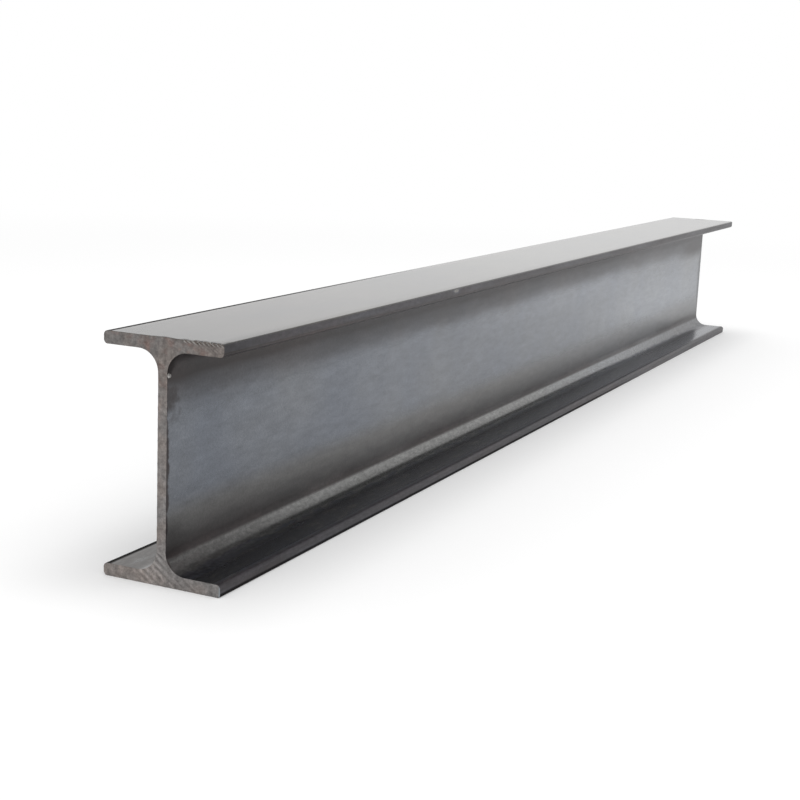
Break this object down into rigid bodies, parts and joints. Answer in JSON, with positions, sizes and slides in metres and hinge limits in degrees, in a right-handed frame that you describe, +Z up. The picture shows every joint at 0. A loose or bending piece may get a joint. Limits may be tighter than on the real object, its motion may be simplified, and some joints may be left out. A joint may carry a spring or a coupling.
{
  "type": "stainless steel i-beam",
  "caption": "Short length of hot-rolled steel I-beam with parallel flanges, a thin web, rounded roots and square saw-cut ends; structural stock that stands on its lower flange.",
  "frame": {"origin": "under the middle of the beam's length and width, on the face of the lower flange that it stands on", "axes": "+X along the beam, away from the end that faces the camera in the picture; +Y across the flanges; +Z up, from the lower flange to the upper flange"},
  "size_m": [0.85, 0.055, 0.1],
  "materials": {
    "rolled_steel": "hot-rolled mill finish, dark blue-grey scale with a satin sheen; ends as sawn, brown-grey"
  },
  "bodies": {
    "root": {"i_beam": "rolled_steel"}
  },
  "joints": []
}
